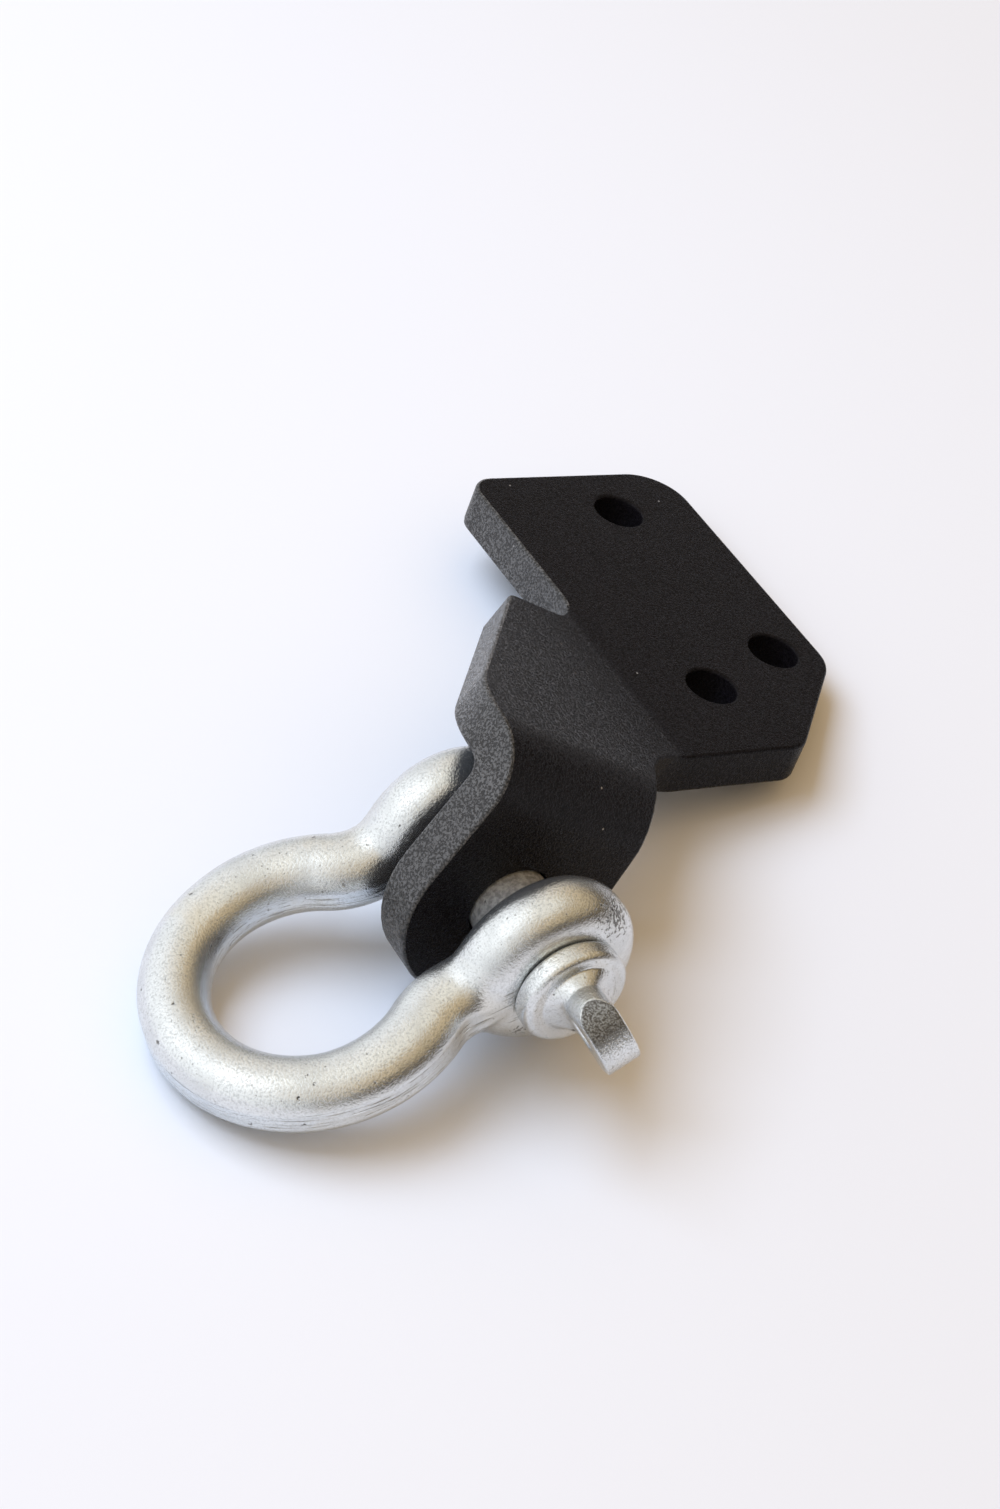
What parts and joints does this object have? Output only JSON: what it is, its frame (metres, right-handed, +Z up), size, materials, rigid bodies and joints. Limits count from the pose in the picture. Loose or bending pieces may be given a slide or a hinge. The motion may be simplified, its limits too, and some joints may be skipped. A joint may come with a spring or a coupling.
{
  "type": "tow hook with bow shackle",
  "caption": "Vehicle tow hook: a folded black steel plate with bolt holes and a turned-down lug that carries a forged bow shackle on a screw pin.",
  "frame": {"origin": "bottom centre of the resting part's bounding box", "axes": "+X along the shackle pin towards its head, -Y towards the shackle's crown, +Z up as the loose part lies on a floor"},
  "size_m": [0.2198, 0.2408, 0.0823],
  "materials": {
    "powder_coat": "fine textured black powder coat",
    "galvanised_bow": "satin galvanised forging",
    "galvanised_pin": "satin galvanised, turned"
  },
  "bodies": {
    "bracket": {"bracket": "powder_coat"},
    "bow": {"shackle_bow": "galvanised_bow"},
    "pin": {"shackle_pin": "galvanised_pin"}
  },
  "joints": [
    {"name": "shackle_swing", "type": "hinge", "parent": "bracket", "child": "bow", "pos_m": [0.04689, -0.02464, 0.03089], "axis": [1, 0, 0], "range_deg": [-78, 140]},
    {"name": "shackle_pin_out", "type": "slide", "parent": "bow", "child": "pin", "axis": [1, 0, 0], "range_m": [0, 0.07]}
  ]
}
